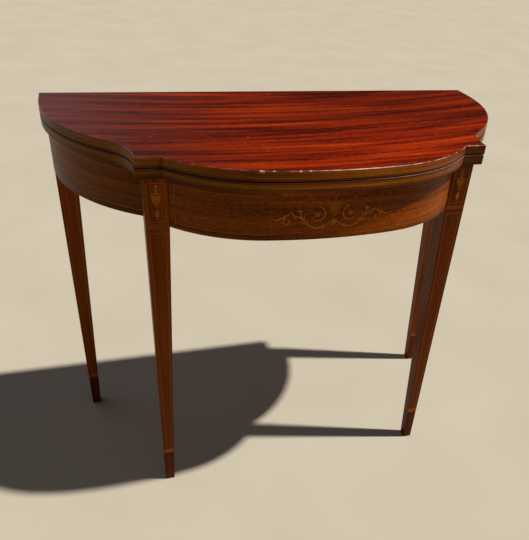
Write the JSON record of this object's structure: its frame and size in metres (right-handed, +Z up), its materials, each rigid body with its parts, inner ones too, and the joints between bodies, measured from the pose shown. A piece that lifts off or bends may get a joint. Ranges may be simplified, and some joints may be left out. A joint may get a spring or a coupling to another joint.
{
  "type": "fold-over card table",
  "caption": "Inlaid mahogany fold-over card table with serpentine ends, bowed frieze and square tapered legs; the upper leaf folds back and the rear legs swing out to carry it.",
  "frame": {"origin": "on the floor, under the middle of the box round the whole closed table", "axes": "+X to the right as seen from the bowed front, +Y to the back (hinged) edge, +Z up"},
  "size_m": [0.914, 0.4604, 0.737],
  "materials": {
    "top_mahogany": "french polished ribbon-striped mahogany, high gloss",
    "frieze_veneer": "polished mahogany veneer with light stringing and marquetry",
    "leg_mahogany": "polished mahogany with light stringing",
    "satinwood": "polished satinwood",
    "carcase_wood": "unpolished softwood and beech inside the frame",
    "brass": "aged brass",
    "steel": "dull steel"
  },
  "bodies": {
    "frame": {"lower_leaf": "top_mahogany", "bow_apron": "frieze_veneer", "left_side_apron": "frieze_veneer", "right_side_apron": "frieze_veneer", "front_left_leg": "leg_mahogany", "front_right_leg": "leg_mahogany", "front_left_cuff": "satinwood", "front_right_cuff": "satinwood", "back_rail": "carcase_wood", "hinge_block": "carcase_wood", "medial_brace": "carcase_wood", "left_corner_block": "carcase_wood", "right_corner_block": "carcase_wood", "left_hinge_lower_plate": "brass", "right_hinge_lower_plate": "brass", "left_hinge_pin": "brass", "right_hinge_pin": "brass", "lower_hinge_screws": "brass", "left_knuckle_pin": "steel", "right_knuckle_pin": "steel", "top_screws": "steel", "block_screws": "steel"},
    "folding_top": {"upper_leaf": "top_mahogany", "left_hinge_upper_plate": "brass", "right_hinge_upper_plate": "brass", "upper_hinge_screws": "brass"},
    "left_gate": {"left_fly_rail": "carcase_wood", "rear_left_leg": "leg_mahogany", "rear_left_cuff": "satinwood"},
    "right_gate": {"right_fly_rail": "carcase_wood", "rear_right_leg": "leg_mahogany", "rear_right_cuff": "satinwood"}
  },
  "joints": [
    {"name": "top_fold", "type": "hinge", "parent": "frame", "child": "folding_top", "pos_m": [0, 0.22698, 0.7188], "axis": [-1, 0, 0], "range_deg": [0, 180]},
    {"name": "left_gate_swing", "type": "hinge", "parent": "frame", "child": "left_gate", "pos_m": [-0.1, 0.16983, 0.6], "axis": [0, 0, -1], "range_deg": [0, 90]},
    {"name": "right_gate_swing", "type": "hinge", "parent": "frame", "child": "right_gate", "pos_m": [0.1, 0.16983, 0.6], "axis": [0, 0, 1], "range_deg": [0, 90]}
  ]
}
